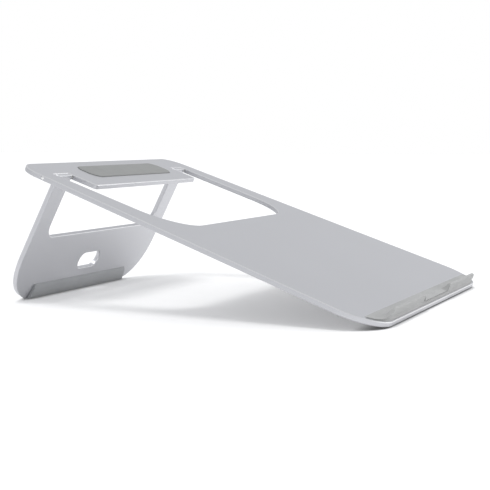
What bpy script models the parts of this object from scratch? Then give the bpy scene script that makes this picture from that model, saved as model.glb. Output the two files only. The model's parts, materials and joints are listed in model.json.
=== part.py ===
"""A folding aluminium laptop stand, standing open on a table.

A flat deck plate carries the laptop: it slopes down to the front, where a silicone lip stops the
laptop, and it has a wide window with a tongue at the rear. A U-shaped leg plate is pinned between the
deck's side rails and the tongue. It leans back against the ends of the side slots, and folds forward
into the window until both plates lie in one plane. +X is the user's right, +Y the rear and +Z up.
"""

from math import asin, atan2, cos, hypot, pi, radians, sin, sqrt, tan

import bmesh
import bpy
from mathutils import Matrix, Vector
from mathutils.geometry import tessellate_polygon

# Plates
SHEET = 0.0030
EDGE_ROUND = 0.0005
GAP = 0.0003

# Deck, seen from above. Distances along the deck run from its rear edge to its front edge.
DECK_LENGTH = 0.2360
REAR_HALF_WIDTH = 0.1020
SIDE_FLARE = 0.0905
REAR_CORNER = 0.0150
FRONT_CORNER = 0.0240
WINDOW_HALF_WIDTH = 0.0891
WINDOW_FRONT = 0.1037
WINDOW_CORNER = 0.0290
TONGUE_HALF_WIDTH = 0.0712
TONGUE_FRONT = 0.0373
TONGUE_CORNER = 0.0025
SLOT_CORNER = 0.0006

# Hinge
PIN_FROM_REAR = 0.0188
PIN_RADIUS = 0.0008
PIN_BORE = 0.0010
PIN_LENGTH = 0.0345
SLOT_END = 0.0021
WASHER_RADIUS = 0.0014
WASHER_THICKNESS = 0.0003
PIN_SIDES = 20
PIN_CROWN = 0.0002
# How far the bore runs into the tongue, and how far its cutter runs out past the deck's side
BORE_DEPTH = 0.0045

# Leg. Distances along the leg run down from the hinge axis.
LEG_LEAN = radians(26.75)
LEG_HALF_WIDTH = 0.0882
LEG_BOTTOM = 0.0833
LEG_CORNER = 0.0290
ARM_WIDTH = 0.0161
OPENING_BOTTOM = 0.0405
OPENING_CORNER = 0.0090
HOLE_HALF_WIDTH = 0.0135
HOLE_HALF_HEIGHT = 0.0056
HOLE_CENTRE = 0.0623

# Leg foot, a channel of silicone around the leg's bottom edge
FOOT_SKIN = 0.0011
FOOT_SOLE = 0.0008
FOOT_TOP = 0.0737
FOOT_HALF_TOP = 0.0598
FOOT_HALF_BOTTOM = 0.0625
FOOT_TREAD = 0.0022

# Tongue pad
PAD_HALF_LENGTH = 0.0538
PAD_MIDDLE = 0.0037
PAD_REAR = 0.0083
PAD_FRONT = 0.0258
PAD_CORNER = 0.0070
PAD_POCKET = 0.0008
PAD_PROUD = 0.0006
PAD_EDGE = 0.0004
POCKET_EDGE = 0.0002

# Front lip
LIP_DEPTH = 0.0108
LIP_SETBACK = 0.0008
LIP_HEIGHT = 0.0064
LIP_STRAIGHT = 0.0950
LIP_END = 0.0185
LIP_SWOOP = (0.0940, 0.1060)
LIP_TIP_HEIGHT = 0.0005
LIP_TAIL_HEIGHT = 0.0026
# (share of the lip's depth from its front, share of its height), from the feather edge to the foot
LIP_RAMP = [(1.0, 0.05), (0.72, 0.14), (0.48, 0.31), (0.32, 0.58), (0.2, 0.95), (0.14, 1.0)]
LIP_BROW = (0.05, 0.94)
LIP_NECK = [(0.07, 0.6), (0.10, 0.25), (0.0, 0.0)]
LIP_END_ANGLES = (0, 10, 18, 26, 34, 42, 50, 58, 66, 74, 80)
NOTCH_HALF_WIDTH = 0.0290
NOTCH_FLOOR = 0.0021
NOTCH_WALL = 0.0001

# Front foot under the deck
SOLE_HALF_LENGTH = 0.0900
SOLE_SETBACK = 0.0016
SOLE_TREAD = 0.0030
SOLE_DEPTH = 0.0110
SOLE_TAPER = 0.0012
SOLE_WAIST = 0.65
TABLE_CLEARANCE = 0.00035

ARC_STEPS = 20
SHARP_ANGLE = radians(35)

# The leg's tread touches the table, which sets the height of the hinge axis and so the deck's slope.
FOOT_OUTER = SHEET / 2 + GAP + FOOT_SKIN
FOOT_END = LEG_BOTTOM + GAP + FOOT_SOLE
TREAD_TOP = FOOT_END - FOOT_TREAD * tan(LEG_LEAN)
HINGE_HEIGHT = TREAD_TOP * cos(LEG_LEAN) + FOOT_OUTER * sin(LEG_LEAN)
DECK_REACH = DECK_LENGTH - PIN_FROM_REAR
DECK_SLOPE = asin((HINGE_HEIGHT - TABLE_CLEARANCE) / hypot(DECK_REACH, SHEET / 2)) - atan2(
    SHEET / 2, DECK_REACH
)
# The leg's end face lies flush with the deck's top, which it meets at this angle.
END_SLANT = LEG_LEAN - DECK_SLOPE
ARM_END = SHEET / 2 / cos(END_SLANT)

# The box around the object is centred on the origin: the lip's brow is its front, and the leg its rear.
BROW_FROM_HINGE = DECK_REACH - LIP_SETBACK - LIP_BROW[0] * LIP_DEPTH
BROW_HEIGHT = SHEET / 2 + GAP + LIP_BROW[1] * LIP_HEIGHT
FRONT_REACH = BROW_FROM_HINGE * cos(DECK_SLOPE) + BROW_HEIGHT * sin(DECK_SLOPE)
REAR_REACH = FOOT_END * sin(LEG_LEAN) + FOOT_OUTER * cos(LEG_LEAN)
HINGE_Y = (FRONT_REACH - REAR_REACH) / 2

ALUMINIUM = ("anodised_aluminium", (0.56, 0.57, 0.60), 0.38, 1.0)
SILICONE = ("grey_silicone", (0.33, 0.34, 0.33), 0.62, 0.0)
DARK_SILICONE = ("dark_grey_silicone", (0.22, 0.23, 0.24), 0.62, 0.0)
STEEL = ("pin_steel", (0.62, 0.62, 0.63), 0.25, 1.0)
NYLON = ("nylon", (0.78, 0.77, 0.72), 0.55, 0.0)


def clear_scene():
    for thing in list(bpy.data.objects):
        bpy.data.objects.remove(thing, do_unlink=True)


def material(name, colour, roughness, metallic):
    found = bpy.data.materials.get(name)
    if found:
        return found
    made = bpy.data.materials.new(name)
    made.use_nodes = True
    shader = made.node_tree.nodes["Principled BSDF"]
    shader.inputs["Base Color"].default_value = (*colour, 1)
    shader.inputs["Roughness"].default_value = roughness
    shader.inputs["Metallic"].default_value = metallic
    return made


def mesh_object(name, mesh_data, finish, parent):
    """A smooth-shaded object with one material, placed in its parent's frame."""
    mesh = bpy.data.meshes.new(name)
    mesh_data.to_mesh(mesh)
    mesh_data.free()
    mesh.materials.append(material(*finish))
    mesh.shade_smooth()
    mesh.set_sharp_from_angle(angle=SHARP_ANGLE)
    thing = bpy.data.objects.new(name, mesh)
    bpy.context.collection.objects.link(thing)
    thing.parent = parent
    return thing


def rounded(corners, inset=0.0, steps=ARC_STEPS):
    """The points of a polygon whose corners (x, y, radius) are rounded, moved inwards by inset.

    The corners run anticlockwise. A corner that turns the other way grows its radius by the inset, so
    every inset of one outline has the same number of points.
    """
    count = len(corners)
    points = [Vector(corner[:2]) for corner in corners]
    edges = [(points[(i + 1) % count] - points[i]).normalized() for i in range(count)]
    outline = []
    for i in range(count):
        before, after = edges[i - 1], edges[i]
        turn = before.x * after.y - before.y * after.x
        angle = atan2(turn, before.dot(after))
        inward = Vector((-before.y, before.x)), Vector((-after.y, after.x))
        corner = points[i] + (inward[0] + inward[1]) * inset / (1 + inward[0].dot(inward[1]))
        radius = corners[i][2] - inset * (1 if turn > 0 else -1)
        side = 1 if turn > 0 else -1
        start = corner - before * radius * tan(abs(angle) / 2)
        centre = start + inward[0] * radius * side
        spoke = start - centre
        for step in range(steps + 1):
            turned = Matrix.Rotation(angle * step / steps, 2) @ spoke
            outline.append(centre + turned)
    return outline


def edge_profile(thickness, edge):
    """(inset, z) up a plate's edge, with both rims rounded in two facets."""
    lean = edge * (1 - sqrt(0.5))
    lower = [(edge, -thickness / 2), (lean, -thickness / 2 + lean), (0, -thickness / 2 + edge)]
    return lower + [(inset, -z) for inset, z in reversed(lower)]


def plate(outer, holes, thickness=SHEET, edge=EDGE_ROUND, shift=None):
    """A closed plate between an outer outline and its holes, each a list of (x, y, radius)."""
    shape = bmesh.new()
    profile = edge_profile(thickness, edge)
    caps = {0: [], len(profile) - 1: []}
    for corners, sign in [(outer, 1)] + [(hole, -1) for hole in holes]:
        rings = []
        for inset, z in profile:
            ring = [Vector((p.x, p.y, z)) for p in rounded(corners, sign * inset)]
            if shift:
                ring = [shift(p) for p in ring]
            rings.append([shape.verts.new(p) for p in ring])
        for level in caps:
            caps[level].append(rings[level])
        count = len(rings[0])
        for low, high in zip(rings, rings[1:]):
            for i in range(count):
                j = (i + 1) % count
                quad = (low[i], low[j], high[j], high[i])
                shape.faces.new(quad if sign > 0 else tuple(reversed(quad)))
    for level, loops in caps.items():
        flat = [[Vector((v.co.x, v.co.y, 0)) for v in loop] for loop in loops]
        verts = [v for loop in loops for v in loop]
        for triangle in tessellate_polygon(flat):
            shape.faces.new([verts[i] for i in triangle])
    bmesh.ops.recalc_face_normals(shape, faces=shape.faces)
    return shape


def loft(sections):
    """A closed solid through equal-length closed sections, with a flat cap at each end."""
    shape = bmesh.new()
    rings = [[shape.verts.new(p) for p in section] for section in sections]
    count = len(rings[0])
    for near, far in zip(rings, rings[1:]):
        for i in range(count):
            j = (i + 1) % count
            shape.faces.new((near[i], near[j], far[j], far[i]))
    shape.faces.new(rings[0])
    shape.faces.new(rings[-1])
    bmesh.ops.recalc_face_normals(shape, faces=shape.faces)
    return shape


def rod(radius, start, end, sides=PIN_SIDES, crown=0.0):
    """A round bar along X, its far rims turned down by crown."""
    stations = [(start, radius), (end, radius)]
    if crown:
        stations = [(start, radius - crown), (start + crown, radius)]
        stations += [(end - crown, radius), (end, radius - crown)]
    turns = [2 * pi * i / sides for i in range(sides)]
    return loft([[Vector((x, r * cos(a), r * sin(a))) for a in turns] for x, r in stations])


def cut(thing, shape, name):
    """Subtracts a closed shape, given in the object's own frame."""
    mesh = bpy.data.meshes.new(name)
    shape.to_mesh(mesh)
    shape.free()
    cutter = bpy.data.objects.new(name, mesh)
    bpy.context.collection.objects.link(cutter)
    cutter.parent = thing.parent
    cutter.hide_render = True
    cutter.display_type = "WIRE"
    boolean = thing.modifiers.new(name, "BOOLEAN")
    boolean.object = cutter
    boolean.solver = "EXACT"


def along(distance):
    """A distance from the deck's rear edge, as y in the frame whose origin is the hinge axis."""
    return PIN_FROM_REAR - distance


def half_width(distance):
    return REAR_HALF_WIDTH + SIDE_FLARE * distance


def mirrored(right_side):
    """An anticlockwise outline from its right-hand corners, listed from front to rear."""
    left_side = [(-x, y, radius) for x, y, radius in reversed(right_side)]
    return right_side + left_side


def frame(name, slope):
    """An empty on the hinge axis, turned about X. Its y runs up its plate, its z out of the upper face."""
    empty = bpy.data.objects.new(name, None)
    bpy.context.collection.objects.link(empty)
    empty.location = (0, HINGE_Y, HINGE_HEIGHT)
    empty.rotation_euler = (slope, 0, 0)
    return empty


def deck_plate(deck):
    outer = mirrored(
        [
            (half_width(DECK_LENGTH), along(DECK_LENGTH), FRONT_CORNER),
            (half_width(0), along(0), REAR_CORNER),
        ]
    )
    window = mirrored(
        [
            (WINDOW_HALF_WIDTH, along(WINDOW_FRONT), WINDOW_CORNER),
            (WINDOW_HALF_WIDTH, SLOT_END, SLOT_CORNER),
            (TONGUE_HALF_WIDTH, SLOT_END, SLOT_CORNER),
            (TONGUE_HALF_WIDTH, along(TONGUE_FRONT), TONGUE_CORNER),
        ]
    )
    thing = mesh_object("deck_plate", plate(outer, [window]), ALUMINIUM, deck)
    for side, name in ((-1, "left"), (1, "right")):
        inner = side * (TONGUE_HALF_WIDTH - BORE_DEPTH)
        outside = side * (half_width(PIN_FROM_REAR) + BORE_DEPTH)
        bore = rod(PIN_BORE, min(inner, outside), max(inner, outside))
        cut(thing, bore, "bore_" + name)
    pocket = plate(pad_outline(-GAP), [], 2 * PAD_POCKET, POCKET_EDGE)
    bmesh.ops.translate(pocket, vec=(0, 0, SHEET / 2), verts=pocket.verts)
    cut(thing, pocket, "pad_pocket")


def pad_outline(inset):
    half = PAD_HALF_LENGTH - inset
    rear, front = along(PAD_REAR + inset), along(PAD_FRONT - inset)
    radius = PAD_CORNER - inset
    centred = mirrored([(half, front, radius), (half, rear, radius)])
    return [(x + PAD_MIDDLE, y, corner) for x, y, corner in centred]


def tongue_pad(deck):
    thickness = PAD_POCKET + PAD_PROUD - GAP
    shape = plate(pad_outline(0), [], thickness, PAD_EDGE)
    middle = SHEET / 2 + PAD_PROUD - thickness / 2
    bmesh.ops.translate(shape, vec=(0, 0, middle), verts=shape.verts)
    mesh_object("tongue_pad", shape, SILICONE, deck)


def lip_section(x, top, ceiling):
    """The lip across the deck at x, as a closed ring from its feather edge over the crest to its foot."""
    rear_edge = along(DECK_LENGTH - LIP_SETBACK - LIP_DEPTH)
    beyond = max(0.0, abs(x) - LIP_STRAIGHT) / LIP_END
    depth = LIP_DEPTH * sqrt(1 - beyond**2)
    bottom = SHEET / 2 + GAP
    ring = [Vector((x, rear_edge, bottom))]
    for share, height in [*LIP_RAMP, LIP_BROW, *LIP_NECK]:
        z = min(height * top, ceiling)
        ring.append(Vector((x, rear_edge - (1 - share) * depth, bottom + z)))
    return ring


def lip_height(x):
    start, end = LIP_SWOOP
    share = min(1.0, max(0.0, (end - abs(x)) / (end - start)))
    smooth = share * share * (3 - 2 * share)
    beyond = max(0.0, abs(x) - start) / (LIP_STRAIGHT + LIP_END - start)
    tail = LIP_TIP_HEIGHT + (LIP_TAIL_HEIGHT - LIP_TIP_HEIGHT) * (1 - beyond)
    return tail + (LIP_HEIGHT - tail) * smooth


def front_lip(deck):
    """The silicone lip, with swept-down ends that follow the deck's corners and a finger notch."""
    swoop = [LIP_STRAIGHT + LIP_END * sin(radians(a)) for a in LIP_END_ANGLES]
    stations = sorted({*swoop, LIP_SWOOP[0], NOTCH_HALF_WIDTH + NOTCH_WALL})
    right = [(x, LIP_HEIGHT) for x in stations]
    notch = [(-NOTCH_HALF_WIDTH, NOTCH_FLOOR), (NOTCH_HALF_WIDTH, NOTCH_FLOOR)]
    left = [(-x, LIP_HEIGHT) for x in reversed(stations)]
    sections = [lip_section(x, lip_height(x), ceiling) for x, ceiling in left + notch + right]
    mesh_object("front_lip", loft(sections), SILICONE, deck)


def table_z(y):
    """The table's height in the deck's frame, at y."""
    return -(HINGE_HEIGHT + y * sin(DECK_SLOPE)) / cos(DECK_SLOPE)


def front_foot(deck):
    """A silicone strip under the front edge, with a tread that lies flat on the table."""
    front = along(DECK_LENGTH - SOLE_SETBACK)
    top = -SHEET / 2 - GAP
    tread_end = front + SOLE_TREAD
    outline = [(front, top), (front, table_z(front)), (tread_end, table_z(tread_end))]
    outline += [(front + SOLE_DEPTH * SOLE_WAIST, top - SOLE_TAPER), (front + SOLE_DEPTH, top)]
    stations = [-SOLE_HALF_LENGTH, SOLE_HALF_LENGTH]
    sections = [[Vector((x, y, z)) for y, z in outline] for x in stations]
    mesh_object("front_foot", loft(sections), DARK_SILICONE, deck)


def hinge_pin(deck, side, name):
    outer = half_width(PIN_FROM_REAR) - PIN_CROWN
    ends = sorted((side * outer, side * (outer - PIN_LENGTH)))
    mesh_object(name, rod(PIN_RADIUS, *ends, crown=PIN_CROWN), STEEL, deck)


def washer(deck, middle, name):
    """A thin ring on the pin, between an arm of the leg and the deck."""
    shape = bmesh.new()
    turns = [2 * pi * i / PIN_SIDES for i in range(PIN_SIDES)]
    corners = [(radius, x) for x in (-1, 1) for radius in (PIN_BORE, WASHER_RADIUS)]
    order = [corners[0], corners[1], corners[3], corners[2]]
    rings = []
    for angle in turns:
        ring = [(middle + x * WASHER_THICKNESS / 2, r * cos(angle), r * sin(angle)) for r, x in order]
        rings.append([shape.verts.new(p) for p in ring])
    for near, far in zip(rings, rings[1:] + rings[:1]):
        for i in range(len(order)):
            j = (i + 1) % len(order)
            shape.faces.new((near[i], near[j], far[j], far[i]))
    bmesh.ops.recalc_face_normals(shape, faces=shape.faces)
    mesh_object(name, shape, NYLON, deck)


def leg_plate(leg):
    arm_inner = LEG_HALF_WIDTH - ARM_WIDTH
    right = [
        (LEG_HALF_WIDTH, -LEG_BOTTOM, LEG_CORNER),
        (LEG_HALF_WIDTH, ARM_END, SLOT_CORNER),
        (arm_inner, ARM_END, SLOT_CORNER),
        (arm_inner, -OPENING_BOTTOM, OPENING_CORNER),
    ]
    hole = mirrored(
        [
            (HOLE_HALF_WIDTH, -HOLE_CENTRE - HOLE_HALF_HEIGHT, HOLE_HALF_HEIGHT),
            (HOLE_HALF_WIDTH, -HOLE_CENTRE + HOLE_HALF_HEIGHT, HOLE_HALF_HEIGHT),
        ]
    )

    def flush(point):
        """Slants the arms' end faces to the deck's top surface."""
        share = max(0.0, point.y / ARM_END)
        return Vector((point.x, point.y + share * point.z * tan(END_SLANT), point.z))

    thing = mesh_object("leg_plate", plate(mirrored(right), [hole], shift=flush), ALUMINIUM, leg)
    for side, name in ((-1, "left"), (1, "right")):
        ends = sorted((side * (arm_inner - BORE_DEPTH), side * (LEG_HALF_WIDTH + BORE_DEPTH)))
        cut(thing, rod(PIN_BORE, *ends), "arm_bore_" + name)


def leg_foot(leg):
    """A silicone channel around the leg's bottom edge, with a tread that lies flat on the table."""
    inner, outer = SHEET / 2 + GAP, FOOT_OUTER
    channel = LEG_BOTTOM + GAP
    profile = [(outer, FOOT_TOP), (outer, TREAD_TOP), (outer - FOOT_TREAD, FOOT_END)]
    profile += [(-outer, FOOT_END), (-outer, FOOT_TOP)]
    profile += [(-inner, FOOT_TOP), (-inner, channel), (inner, channel), (inner, FOOT_TOP)]
    sections = []
    for side in (-1, 1):
        section = []
        for z, distance in profile:
            share = (distance - FOOT_TOP) / (FOOT_END - FOOT_TOP)
            half = FOOT_HALF_TOP + (FOOT_HALF_BOTTOM - FOOT_HALF_TOP) * share
            section.append(Vector((side * half, -distance, z)))
        sections.append(section)
    mesh_object("leg_foot", loft(sections), DARK_SILICONE, leg)


def main():
    clear_scene()
    deck = frame("deck_frame", DECK_SLOPE)
    leg = frame("leg_frame", pi / 2 + LEG_LEAN)
    deck_plate(deck)
    tongue_pad(deck)
    front_lip(deck)
    front_foot(deck)
    slack = (WINDOW_HALF_WIDTH + LEG_HALF_WIDTH) / 2
    inside = (TONGUE_HALF_WIDTH + LEG_HALF_WIDTH - ARM_WIDTH) / 2
    for side, name in ((-1, "left"), (1, "right")):
        hinge_pin(deck, side, "hinge_pin_" + name)
        washer(deck, side * slack, "outer_washer_" + name)
        washer(deck, side * inside, "inner_washer_" + name)
    leg_plate(leg)
    leg_foot(leg)


main()
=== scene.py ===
import json
from math import atan2, cos, pi, radians, sin, sqrt

import bmesh
import bpy
from mathutils import Matrix, Vector
from mathutils.geometry import interpolate_bezier


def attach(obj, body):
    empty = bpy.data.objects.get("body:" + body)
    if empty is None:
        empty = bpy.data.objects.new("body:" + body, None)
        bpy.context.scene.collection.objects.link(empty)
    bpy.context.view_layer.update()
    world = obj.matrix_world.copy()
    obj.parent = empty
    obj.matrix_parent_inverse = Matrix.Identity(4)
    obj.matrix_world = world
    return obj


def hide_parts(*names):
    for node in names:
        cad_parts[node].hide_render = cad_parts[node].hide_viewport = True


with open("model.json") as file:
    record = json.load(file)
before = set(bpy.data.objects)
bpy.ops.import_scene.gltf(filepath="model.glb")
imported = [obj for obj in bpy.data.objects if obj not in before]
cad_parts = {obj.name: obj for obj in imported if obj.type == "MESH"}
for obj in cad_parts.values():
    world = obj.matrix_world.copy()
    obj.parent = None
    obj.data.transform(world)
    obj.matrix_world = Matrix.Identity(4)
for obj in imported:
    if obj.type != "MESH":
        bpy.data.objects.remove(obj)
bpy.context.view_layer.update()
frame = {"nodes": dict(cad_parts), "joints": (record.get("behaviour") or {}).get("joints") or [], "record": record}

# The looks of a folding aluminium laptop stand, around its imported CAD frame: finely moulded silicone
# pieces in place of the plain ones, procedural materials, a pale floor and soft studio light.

# Places that come from the frame. Each plate has its own axes through the hinge: x across, y up the
# plate towards the hinge and z out of the plate's upper or front face.
HINGE = Vector(frame["joints"][0]["pos_m"])
MOUNTS = {mount["name"]: mount for mount in frame["record"]["mounts"]}
OPENINGS = {opening["name"]: opening for opening in frame["record"]["physics"]["openings"]}


def tilted(angle):
    """A frame on the hinge axis, turned about X."""
    return Matrix.Translation(HINGE) @ Matrix.Rotation(angle, 4, "X")


def deck_tilt():
    normal = Vector(MOUNTS["laptop_rest_plate"]["axis"])
    return atan2(-normal.y, normal.z)


def leg_tilt():
    """The leg's tilt. Folded by its whole range, it would lie in the deck's plane."""
    fold = radians(frame["joints"][0]["range_deg"][1])
    return deck_tilt() + fold


DECK = tilted(deck_tilt())
LEG = tilted(leg_tilt())


def local_box(node, axes):
    """(lowest corner, highest corner) of a CAD node, measured along a plate's own axes."""
    inverse = axes.inverted()
    points = [inverse @ vertex.co for vertex in frame["nodes"][node].data.vertices]
    low = Vector(min(p[i] for p in points) for i in range(3))
    high = Vector(max(p[i] for p in points) for i in range(3))
    return low, high


# Camera
LENS = 98.54
SENSOR = 36.0
CAMERA_PLACE = (-0.7700, -0.30774, 0.0996)
CAMERA_AZIMUTH = radians(-68.226)
CAMERA_ELEVATION = radians(4.653)

# Studio. The tabletop glows a little, so that shadows on it stay pale.
FLOOR_HALF = 6.0
FLOOR_GREY = 0.80
FLOOR_GLOW = 0.20
# A painted contact shadow on the floor: how far from the object it reaches, and the grey that it darkens to.
CONTACT_SHADOW_REACH = 0.007
CONTACT_SHADOW_GREY = 0.22
KEY_DIRECTION = (-0.28, 0.0, 1.0)
KEY_WIDTH = radians(24)
KEY_STRENGTH = 1.05
ROOM_STRENGTH = 0.84
FILL_PLACE = (0.85, -1.05, 0.40)
FILL_SIZE = 1.1
FILL_WATTS = 6.6

# Moulded pieces and pins
SHARP_ANGLE = radians(40)
WELD = 0.00001
HAIRLINE = 0.00003
CREASE = radians(20)
FOOT_ROUND = 0.0003
# (share of the skin's thickness, distance below the top) along the leg foot's top edge
FEATHER_EDGE = [(0.0, 0.0), (0.12, 0.00005), (0.50, 0.0007), (0.85, 0.0016), (1.0, 0.0027)]
PAD_CORNER = 0.0070
PAD_CROWN = 0.00012
PAD_RIM = 0.0004
PAD_RIM_STEPS = 6
PAD_CROWN_INSETS = (0.002, 0.004, 0.006)
PIN_FIT = 1.22
PIN_DOME = 0.00022
# (share of the dome's height, share of the radius) from the middle of the pin's end outwards
PIN_END = [(1.0, 0.30), (0.9, 0.62), (0.55, 0.90), (0.0, 1.0)]
PIN_END_TAPER = 0.85
PIN_SIDES = 32

# Silicone lip
LIP_SHARP_ANGLE = radians(50)
LIP_END_TURN = radians(80)
LIP_END_STEPS = 24
LIP_SWOOP_STEPS = 16
LIP_CREST_STEPS = 24
LIP_STRAIGHT = 0.0950
LIP_SWOOP = (0.0940, 0.1060)
LIP_TIP_HEIGHT = 0.0005
LIP_TAIL_HEIGHT = 0.0026
# (share of the depth from the front, share of the height), from the feather edge over the ridge to the foot
LIP_RAMP = [(1.0, 0.03), (0.80, 0.09), (0.62, 0.18), (0.47, 0.31), (0.34, 0.52), (0.25, 0.77)]
LIP_CREST = [(0.20, 0.95), (0.15, 1.0), (0.09, 0.995), (0.055, 0.93)]
LIP_NECK = [(0.06, 0.74), (0.085, 0.48), (0.10, 0.24), (0.06, 0.06), (0.02, 0.0)]
NOTCH_WALL = 0.0038
NOTCH_START = 0.0014
NOTCH_FLOOR = 0.0021
NOTCH_MARGIN = 0.0008
NOTCH_STEPS = 10
NOTCH_SPARE = 0.002
NOTCH_CLEAR = 0.001
NOTCH_SOFTNESS = 0.00025


def spread(start, end, steps):
    """Evenly spaced values from start to end."""
    return [start + (end - start) * i / steps for i in range(steps + 1)]


def smooth(share):
    share = min(1.0, max(0.0, share))
    return share * share * (3 - 2 * share)


def new_object(name, shape, material, body, sharp=SHARP_ANGLE):
    """A smooth-shaded piece that rides on a body."""
    mesh = bpy.data.meshes.new(name)
    bmesh.ops.recalc_face_normals(shape, faces=shape.faces)
    shape.to_mesh(mesh)
    shape.free()
    mesh.materials.append(material)
    mesh.shade_smooth()
    mesh.set_sharp_from_angle(angle=sharp)
    thing = bpy.data.objects.new(name, mesh)
    bpy.context.scene.collection.objects.link(thing)
    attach(thing, body)
    return thing


def skin(rings, axes):
    """A closed bmesh through equal-length closed rings, capped at both ends, placed by axes."""
    shape = bmesh.new()
    rows = [[shape.verts.new(axes @ point) for point in ring] for ring in rings]
    count = len(rows[0])
    for near, far in zip(rows, rows[1:]):
        for i in range(count):
            j = (i + 1) % count
            shape.faces.new((near[i], near[j], far[j], far[i]))
    shape.faces.new(rows[0])
    shape.faces.new(rows[-1])
    return shape


def curve_through(points, between=3):
    """The points and `between` more in each gap, on a smooth curve through them."""
    flat = [Vector((a, b, 0)) for a, b in points]
    result = []
    for i in range(len(flat) - 1):
        before = flat[max(i - 1, 0)]
        after = flat[min(i + 2, len(flat) - 1)]
        start, end = flat[i], flat[i + 1]
        handle_a = start + (end - before) / 6
        handle_b = end - (after - start) / 6
        result += interpolate_bezier(start, handle_a, handle_b, end, between + 2)[:-1]
    return [(p.x, p.y) for p in result + [flat[-1]]]


# Materials
ALUMINIUM_TINT = (0.985, 0.99, 1.03)


class Nodes:
    """A short way to build a node material."""

    def __init__(self, name):
        self.material = bpy.data.materials.new(name)
        self.material.use_nodes = True
        self.tree = self.material.node_tree
        self.shader = self.tree.nodes["Principled BSDF"]

    def add(self, kind, inputs=(), **settings):
        node = self.tree.nodes.new("ShaderNode" + kind)
        for key, value in settings.items():
            setattr(node, key, value)
        for key, value in dict(inputs).items():
            self.put(node.inputs[key], value)
        return node

    def put(self, socket, value):
        if isinstance(value, bpy.types.NodeSocket):
            self.tree.links.new(value, socket)
        elif isinstance(value, bpy.types.Node):
            self.tree.links.new(value.outputs[0], socket)
        else:
            socket.default_value = value

    def set(self, **sockets):
        """Sets the shader's sockets. An underscore stands for a space."""
        for name, value in sockets.items():
            self.put(self.shader.inputs[name.replace("_", " ")], value)

    def coordinates(self, output="Object"):
        return self.add("TexCoord").outputs[output]

    def noise(self, scale, detail=3.0, roughness=0.55, stretch=None):
        vector = self.coordinates()
        if stretch:
            vector = self.add("Mapping", {"Vector": vector, "Scale": stretch})
        inputs = {"Vector": vector, "Scale": scale, "Detail": detail, "Roughness": roughness}
        return self.add("TexNoise", inputs).outputs["Fac"]

    def remap(self, value, low, high, start=0.3, end=0.7):
        inputs = {"Value": value, "From Min": start, "From Max": end, "To Min": low, "To Max": high}
        return self.add("MapRange", inputs, clamp=True).outputs["Result"]

    def mix(self, share, first, second):
        """A colour mix."""
        node = self.add("Mix", data_type="RGBA")
        self.put(node.inputs[0], share)
        self.put(node.inputs[6], first)
        self.put(node.inputs[7], second)
        return node.outputs[2]

    def blend_values(self, share, first, second):
        node = self.add("Mix", data_type="FLOAT")
        self.put(node.inputs[0], share)
        self.put(node.inputs[2], first)
        self.put(node.inputs[3], second)
        return node.outputs[0]

    def bump(self, height, strength, distance):
        inputs = {"Height": height, "Strength": strength, "Distance": distance}
        return self.add("Bump", inputs).outputs["Normal"]


def grey(level, tint=(1, 1, 1)):
    return (level * tint[0], level * tint[1], level * tint[2], 1)


def anodised_aluminium(name, face_normal, level, rim_highlight_level, rim_roughness):
    """Bead-blasted, silver-anodised sheet. The rims that face up are polished smoother, and they are also painted
    brighter, a painted highlight where the light catches them.
    """
    m = Nodes(name)
    grain = m.noise(5200, detail=2.0, roughness=0.7)
    cloud = m.noise(26, detail=4.0)
    facing = m.add("VectorMath", {0: m.coordinates("Normal"), 1: face_normal}, operation="DOT_PRODUCT")
    flatness = m.add("Math", {0: facing.outputs["Value"]}, operation="ABSOLUTE")
    off_face = m.remap(flatness, 1.0, 0.0, start=0.94, end=0.985)
    off_side = m.remap(flatness, 0.0, 1.0, start=0.20, end=0.34)
    # Only the rims that face up get the painted highlight; the rims that face down stay plain metal.
    upward = m.add("SeparateXYZ", {0: m.coordinates("Normal")}).outputs["Z"]
    highlight_facing_up = m.remap(upward, 0.0, 1.0, start=-0.16, end=-0.04)
    edge = m.add("Math", {0: off_face, 1: off_side}, operation="MULTIPLY")
    polished_rim_and_highlight = m.add("Math", {0: edge, 1: highlight_facing_up}, operation="MULTIPLY").outputs[0]
    dull, clear, bright = (grey(level * share, ALUMINIUM_TINT) for share in (0.96, 1.0, 1.07))
    body = m.mix(m.remap(cloud, 0.0, 1.0), dull, clear)
    speckled = m.mix(m.remap(grain, 0.0, 1.0), body, bright)
    # Painted highlight: the up-facing rims are painted a brighter grey, on top of their real smoother polish.
    m.set(Base_Color=m.mix(polished_rim_and_highlight, speckled, grey(rim_highlight_level, (0.99, 0.995, 1.01))), Metallic=1.0)
    roughness = m.add("Math", {0: m.remap(grain, 0.36, 0.46), 1: m.remap(cloud, -0.015, 0.015)})
    m.set(Roughness=m.blend_values(polished_rim_and_highlight, roughness, rim_roughness))
    m.set(Normal=m.bump(grain, 0.10, 0.00004))
    return m.material


def silicone(name, level, tint, rough=0.62):
    """Matt moulded silicone, faintly mottled, with a fine spark-eroded texture."""
    m = Nodes(name)
    stipple = m.noise(2600, detail=2.0, roughness=0.6)
    cloud = m.noise(60, detail=4.0)
    colour = m.mix(m.remap(cloud, 0.0, 1.0), grey(level * 0.95, tint), grey(level * 1.05, tint))
    m.set(Base_Color=colour, Roughness=m.remap(stipple, rough - 0.06, rough + 0.08))
    m.set(Normal=m.bump(stipple, 0.16, 0.00006), Sheen_Weight=0.15, Sheen_Roughness=0.4)
    m.set(Specular_IOR_Level=0.42)
    return m.material


def turned_steel(name):
    m = Nodes(name)
    rings = m.noise(900, detail=2.0, stretch=(6, 1, 1))
    m.set(Base_Color=m.mix(m.remap(rings, 0.0, 1.0), grey(0.80), grey(0.88)), Metallic=1.0)
    m.set(Roughness=m.remap(rings, 0.2, 0.34), Normal=m.bump(rings, 0.1, 0.00002))
    return m.material


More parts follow.
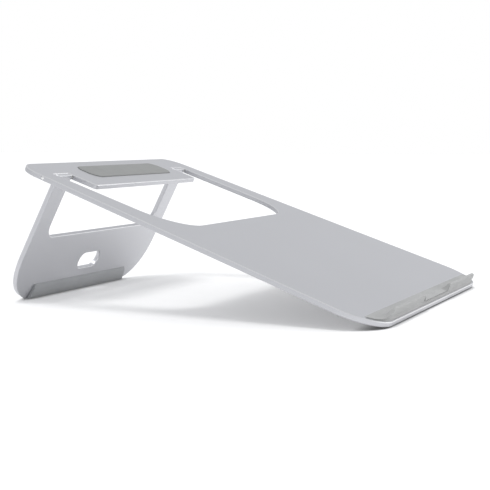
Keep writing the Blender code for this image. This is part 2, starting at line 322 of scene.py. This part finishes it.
def nylon(name):
    m = Nodes(name)
    haze = m.noise(800, detail=3.0)
    dull, clear = (grey(level, (1, 0.98, 0.9)) for level in (0.66, 0.74))
    m.set(Base_Color=m.mix(m.remap(haze, 0.0, 1.0), dull, clear))
    m.set(Roughness=m.remap(haze, 0.42, 0.55), Normal=m.bump(haze, 0.08, 0.00003))
    return m.material


def floor_material():
    """A pale matt tabletop that glows a little. In the narrow places under the object its glow fades and its
    colour is painted darker, a painted contact shadow.
    """
    m = Nodes("studio_floor")
    fleck = m.noise(3, detail=2.0)
    open_air = m.add("AmbientOcclusion", {"Distance": CONTACT_SHADOW_REACH}, samples=16).outputs["AO"]
    openness = m.remap(open_air, 0.0, 1.0, start=0.05, end=0.75)
    pale = m.mix(m.remap(fleck, 0.0, 1.0), grey(FLOOR_GREY - 0.01), grey(FLOOR_GREY + 0.01))
    # Painted contact shadow: the floor's colour darkens towards a dark grey close under the object.
    m.set(Base_Color=m.mix(openness, grey(CONTACT_SHADOW_GREY), pale), Roughness=0.8)
    m.set(Specular_IOR_Level=0.1, Emission_Color=(1, 1, 1, 1))
    m.set(Emission_Strength=m.remap(openness, 0.0, FLOOR_GLOW, start=0.0, end=1.0))
    return m.material


# Pieces


def lip_height(x, full, tip):
    """The ridge keeps its height to near the ends, sweeps down, and dies away along a low tail."""
    start, end = LIP_SWOOP
    beyond = max(0.0, abs(x) - start) / (tip - start)
    tail = LIP_TIP_HEIGHT + (LIP_TAIL_HEIGHT - LIP_TIP_HEIGHT) * (1 - beyond)
    return tail + (full - tail) * smooth((end - abs(x)) / (end - start))


def notch_ceiling(x, half, floor, full):
    """How high the lip may stand at x: the notch has a flat floor and steep, softly rounded walls."""
    return floor + (full - floor) * smooth((abs(x) - half + NOTCH_START) / NOTCH_WALL)


def soft_minimum(value, limit):
    gap = max(NOTCH_SOFTNESS - abs(value - limit), 0.0) / NOTCH_SOFTNESS
    return min(value, limit) - gap * gap * NOTCH_SOFTNESS / 4


def front_lip(material):
    """The lip that stops the laptop: a concave ramp up to an overhanging crest, with a finger notch."""
    low, high = local_box("front_lip", DECK)
    low.z = local_box("deck_plate", DECK)[1].z
    full = high.z - low.z
    depth_full = high.y - low.y
    notch = OPENINGS["lip_finger_notch"]["box_m"]
    half = notch[1][0] + NOTCH_MARGIN
    tip = high.x
    profile = curve_through(LIP_RAMP + LIP_CREST + LIP_NECK)
    end = (tip - LIP_STRAIGHT) / sin(LIP_END_TURN)
    wall = half - NOTCH_START
    stations = [LIP_STRAIGHT + end * sin(turn) for turn in spread(0, LIP_END_TURN, LIP_END_STEPS)]
    stations += spread(*LIP_SWOOP, LIP_SWOOP_STEPS)
    stations += spread(0, half - NOTCH_SPARE, NOTCH_STEPS)
    stations += spread(wall, wall + NOTCH_WALL, NOTCH_STEPS)
    stations += spread(wall + NOTCH_WALL, LIP_SWOOP[0], LIP_CREST_STEPS)
    right = sorted({round(x, 6) for x in stations})
    rings = []
    for x in [-x for x in reversed(right) if x > 0] + right:
        beyond = max(0.0, abs(x) - LIP_STRAIGHT) / end
        depth = depth_full * sqrt(1 - beyond**2)
        top = lip_height(x, full, tip)
        ceiling = notch_ceiling(x, half, NOTCH_FLOOR, full + NOTCH_CLEAR)
        ring = [Vector((x, high.y, low.z))]
        for share, height in profile:
            z = soft_minimum(height * top, ceiling)
            ring.append(Vector((x, high.y - (1 - share) * depth, low.z + max(z, 0.0))))
        rings.append(ring)
    shape = skin(rings, DECK)
    thing = new_object("silicone_front_lip", shape, material, "deck", LIP_SHARP_ANGLE)
    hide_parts("front_lip")


def leg_foot(material):
    """The channel on the leg's bottom edge, which grips the sheet. Its top edges thin out."""
    inverse = LEG.inverted()
    corners = [inverse @ vertex.co for vertex in frame["nodes"]["leg_foot"].data.vertices]
    low, high = local_box("leg_foot", LEG)
    half_top = max(p.x for p in corners if p.y > high.y - WELD)
    tread_top = min(p.y for p in corners if p.z > high.z - WELD)
    tread_front = max(p.z for p in corners if p.y < low.y + WELD)
    plate_low, plate_high = local_box("leg_plate", LEG)
    inner = plate_high.z + HAIRLINE
    feather = [(inner + (high.z - inner) * out, high.y - down) for out, down in FEATHER_EDGE]
    tread = [(high.z, tread_top + FOOT_ROUND), (high.z - FOOT_ROUND / 4, tread_top), (tread_front, low.y)]
    rear = [(FOOT_ROUND - high.z, low.y), (-high.z, low.y + FOOT_ROUND)]
    channel = [(-inner, plate_low.y - HAIRLINE), (inner, plate_low.y - HAIRLINE)]
    profile = feather + tread + rear + [(-z, y) for z, y in reversed(feather)] + channel
    rings = []
    for side in (-1, 1):
        ring = []
        for z, y in profile:
            share = (high.y - y) / (high.y - low.y)
            ring.append(Vector((side * (half_top + (high.x - half_top) * share), y, z)))
        rings.append(ring)
    thing = new_object("silicone_leg_foot", skin(rings, LEG), material, "leg")
    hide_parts("leg_foot")


def front_foot(material):
    """The strip under the front edge, with its edges rounded off."""
    shape = bmesh.new()
    shape.from_mesh(frame["nodes"]["front_foot"].data)
    bmesh.ops.remove_doubles(shape, verts=shape.verts, dist=WELD)
    bmesh.ops.dissolve_limit(shape, angle_limit=radians(1), verts=shape.verts, edges=shape.edges)
    creases = [edge for edge in shape.edges if edge.calc_face_angle(0) > CREASE]
    bmesh.ops.bevel(shape, geom=creases, offset=FOOT_ROUND, segments=3, profile=0.5, affect="EDGES")
    thing = new_object("silicone_front_foot", shape, material, "deck")
    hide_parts("front_foot")


def rounded_rectangle(half_x, half_y, radius, inset, steps=14):
    """The outline of a rectangle with round corners, moved inwards, as (x, y)."""
    points = []
    corner = max(radius - inset, 0.0)
    for turn, (side_x, side_y) in enumerate(((1, 1), (-1, 1), (-1, -1), (1, -1))):
        for step in range(steps + 1):
            angle = pi / 2 * (turn + step / steps)
            x = side_x * (half_x - inset - corner) + corner * cos(angle)
            y = side_y * (half_y - inset - corner) + corner * sin(angle)
            points.append((x, y))
    return points


def tongue_pad(material):
    """The rear pad, with soft rims and a faintly crowned top."""
    low, high = local_box("tongue_pad", DECK)
    half_x, half_y = (high.x - low.x) / 2, (high.y - low.y) / 2
    middle_x, middle_y = (high.x + low.x) / 2, (high.y + low.y) / 2
    turns = spread(0, pi / 2, PAD_RIM_STEPS)
    profile = [(PAD_RIM, low.z), (0.0, low.z + PAD_RIM)]
    top = high.z - PAD_CROWN
    profile += [(PAD_RIM * (1 - cos(a)), top - PAD_RIM + PAD_RIM * sin(a)) for a in turns]
    profile += [(inset, top + PAD_CROWN * sin(pi / 2 * inset / half_y)) for inset in PAD_CROWN_INSETS]
    rings = []
    for inset, z in profile:
        outline = rounded_rectangle(half_x, half_y, PAD_CORNER, inset)
        rings.append([Vector((middle_x + x, middle_y + y, z)) for x, y in outline])
    thing = new_object("silicone_tongue_pad", skin(rings, DECK), material, "deck")
    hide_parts("tongue_pad")


def hinge_pin(side, material):
    """A pin that fills its bore, with a slightly domed end in the deck's side."""
    node = "hinge_pin_" + side
    low, high = local_box(node, DECK)
    outward = 1 if high.x > -low.x else -1
    outer, inner = (high.x, low.x) if outward > 0 else (low.x, high.x)
    radius = high.z * PIN_FIT
    stations = [(outer + outward * PIN_DOME * rise, radius * share) for rise, share in PIN_END]
    stations += [(inner + outward * PIN_DOME, radius), (inner, radius * PIN_END_TAPER)]
    turns = [2 * pi * i / PIN_SIDES for i in range(PIN_SIDES)]
    rings = [[Vector((x, r * cos(a), r * sin(a))) for a in turns] for x, r in stations]
    thing = new_object("steel_" + node, skin(rings, DECK), material, "deck")
    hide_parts(node)


def build_pieces():
    grey_silicone = silicone("moulded_grey_silicone", 0.32, (0.995, 1.005, 0.995))
    pad_silicone = silicone("moulded_pad_silicone", 0.20, (0.99, 1.01, 0.99))
    dark_silicone = silicone("moulded_dark_silicone", 0.335, (0.98, 1.0, 1.03))
    deck_normal = DECK.to_3x3() @ Vector((0, 0, 1))
    leg_normal = LEG.to_3x3() @ Vector((0, 0, 1))
    finishes = {
        "deck_plate": anodised_aluminium("anodised_deck", deck_normal, 0.543, 0.67, 0.31),
        "leg_plate": anodised_aluminium("anodised_leg", leg_normal, 0.565, 0.80, 0.27),
    }
    steel = turned_steel("turned_steel")
    washer = nylon("moulded_nylon")
    for side in ("left", "right"):
        hinge_pin(side, steel)
        finishes["outer_washer_" + side] = washer
        finishes["inner_washer_" + side] = washer
    for node, finish in finishes.items():
        frame["nodes"][node].data.materials.clear()
        frame["nodes"][node].data.materials.append(finish)
    front_lip(grey_silicone)
    tongue_pad(pad_silicone)
    front_foot(dark_silicone)
    leg_foot(dark_silicone)


# Studio


def add_floor():
    shape = bmesh.new()
    bmesh.ops.create_grid(shape, x_segments=8, y_segments=8, size=FLOOR_HALF)
    mesh = bpy.data.meshes.new("floor")
    shape.to_mesh(mesh)
    shape.free()
    mesh.materials.append(floor_material())
    floor = bpy.data.objects.new("floor", mesh)
    bpy.context.scene.collection.objects.link(floor)


def add_key_light():
    """A broad overhead light, like a large distant softbox, that leaves soft shadows under the object."""
    light = bpy.data.lights.new("overhead_key", "SUN")
    light.energy = KEY_STRENGTH
    light.angle = KEY_WIDTH
    thing = bpy.data.objects.new("overhead_key", light)
    thing.rotation_euler = (-Vector(KEY_DIRECTION)).to_track_quat("-Z", "Y").to_euler()
    bpy.context.scene.collection.objects.link(thing)


def add_fill_light():
    """A large low panel in front, to the right, that opens up the lip's and the leg's front faces."""
    light = bpy.data.lights.new("front_fill", "AREA")
    light.shape = "SQUARE"
    light.size = FILL_SIZE
    light.energy = FILL_WATTS
    thing = bpy.data.objects.new("front_fill", light)
    thing.location = FILL_PLACE
    thing.rotation_euler = (-Vector(FILL_PLACE)).to_track_quat("-Z", "Y").to_euler()
    bpy.context.scene.collection.objects.link(thing)


def add_world():
    """White above, seen by the camera, and an even pale grey for the light that it gives."""
    world = bpy.data.worlds.new("studio")
    world.use_nodes = True
    nodes, links = world.node_tree.nodes, world.node_tree.links
    seen = nodes["Background"]
    seen.inputs["Color"].default_value = (1, 1, 1, 1)
    seen.inputs["Strength"].default_value = 1.0
    giving = nodes.new("ShaderNodeBackground")
    giving.inputs["Color"].default_value = (0.97, 0.98, 1, 1)
    giving.inputs["Strength"].default_value = ROOM_STRENGTH
    path = nodes.new("ShaderNodeLightPath")
    choice = nodes.new("ShaderNodeMixShader")
    links.new(path.outputs["Is Camera Ray"], choice.inputs[0])
    links.new(giving.outputs[0], choice.inputs[1])
    links.new(seen.outputs[0], choice.inputs[2])
    links.new(choice.outputs[0], nodes["World Output"].inputs["Surface"])
    bpy.context.scene.world = world


def add_camera():
    camera = bpy.data.cameras.new("camera")
    camera.lens = LENS
    camera.sensor_width = SENSOR
    camera.clip_start = 0.01
    thing = bpy.data.objects.new("camera", camera)
    thing.location = CAMERA_PLACE
    thing.rotation_euler = (pi / 2 - CAMERA_ELEVATION, 0, CAMERA_AZIMUTH)
    bpy.context.scene.collection.objects.link(thing)
    bpy.context.scene.camera = thing


def build_studio():
    add_floor()
    add_key_light()
    add_fill_light()
    add_world()
    add_camera()
    bpy.context.scene.view_settings.view_transform = "Standard"


build_pieces()
build_studio()
